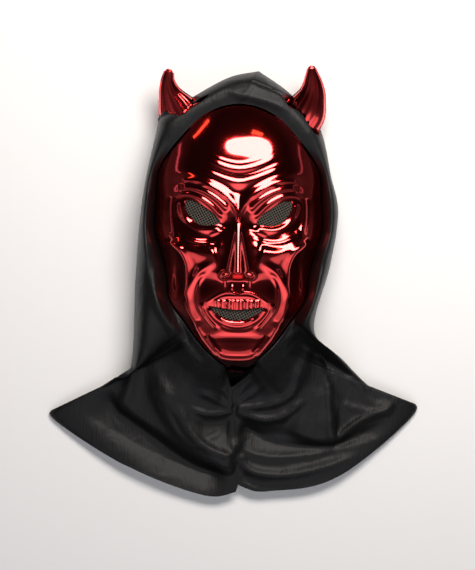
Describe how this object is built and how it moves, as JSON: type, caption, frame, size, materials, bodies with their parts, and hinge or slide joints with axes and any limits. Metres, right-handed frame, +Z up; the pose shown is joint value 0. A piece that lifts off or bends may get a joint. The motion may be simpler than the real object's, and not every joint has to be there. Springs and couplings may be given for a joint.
{
  "type": "devil mask with hood",
  "caption": "Adult devil face mask of red mirror-finish moulded plastic with horns, gauze-backed eyes and mouth, and a pointed black satin hood with a shoulder cape",
  "frame": {"origin": "on the floor under the middle of the face, on the underside of the hood's back layer", "axes": "+Z up out of the face as the mask lies on its back, +Y from the chin towards the horns, +X towards the wearer's left"},
  "size_m": [0.3739, 0.4402, 0.092],
  "materials": {
    "red_metallised_plastic": "thermoformed sheet, vacuum metallised and lacquered red, mirror gloss",
    "black_gauze": "open plain-woven gauze, stiffened, matt",
    "black_satin": "polyester satin, soft sheen, hemmed"
  },
  "bodies": {
    "root": {"mask_shell": "red_metallised_plastic", "eye_mesh_left": "black_gauze", "eye_mesh_right": "black_gauze", "mouth_mesh": "black_gauze", "hood_front": "black_satin", "hood_back": "black_satin"}
  },
  "joints": []
}
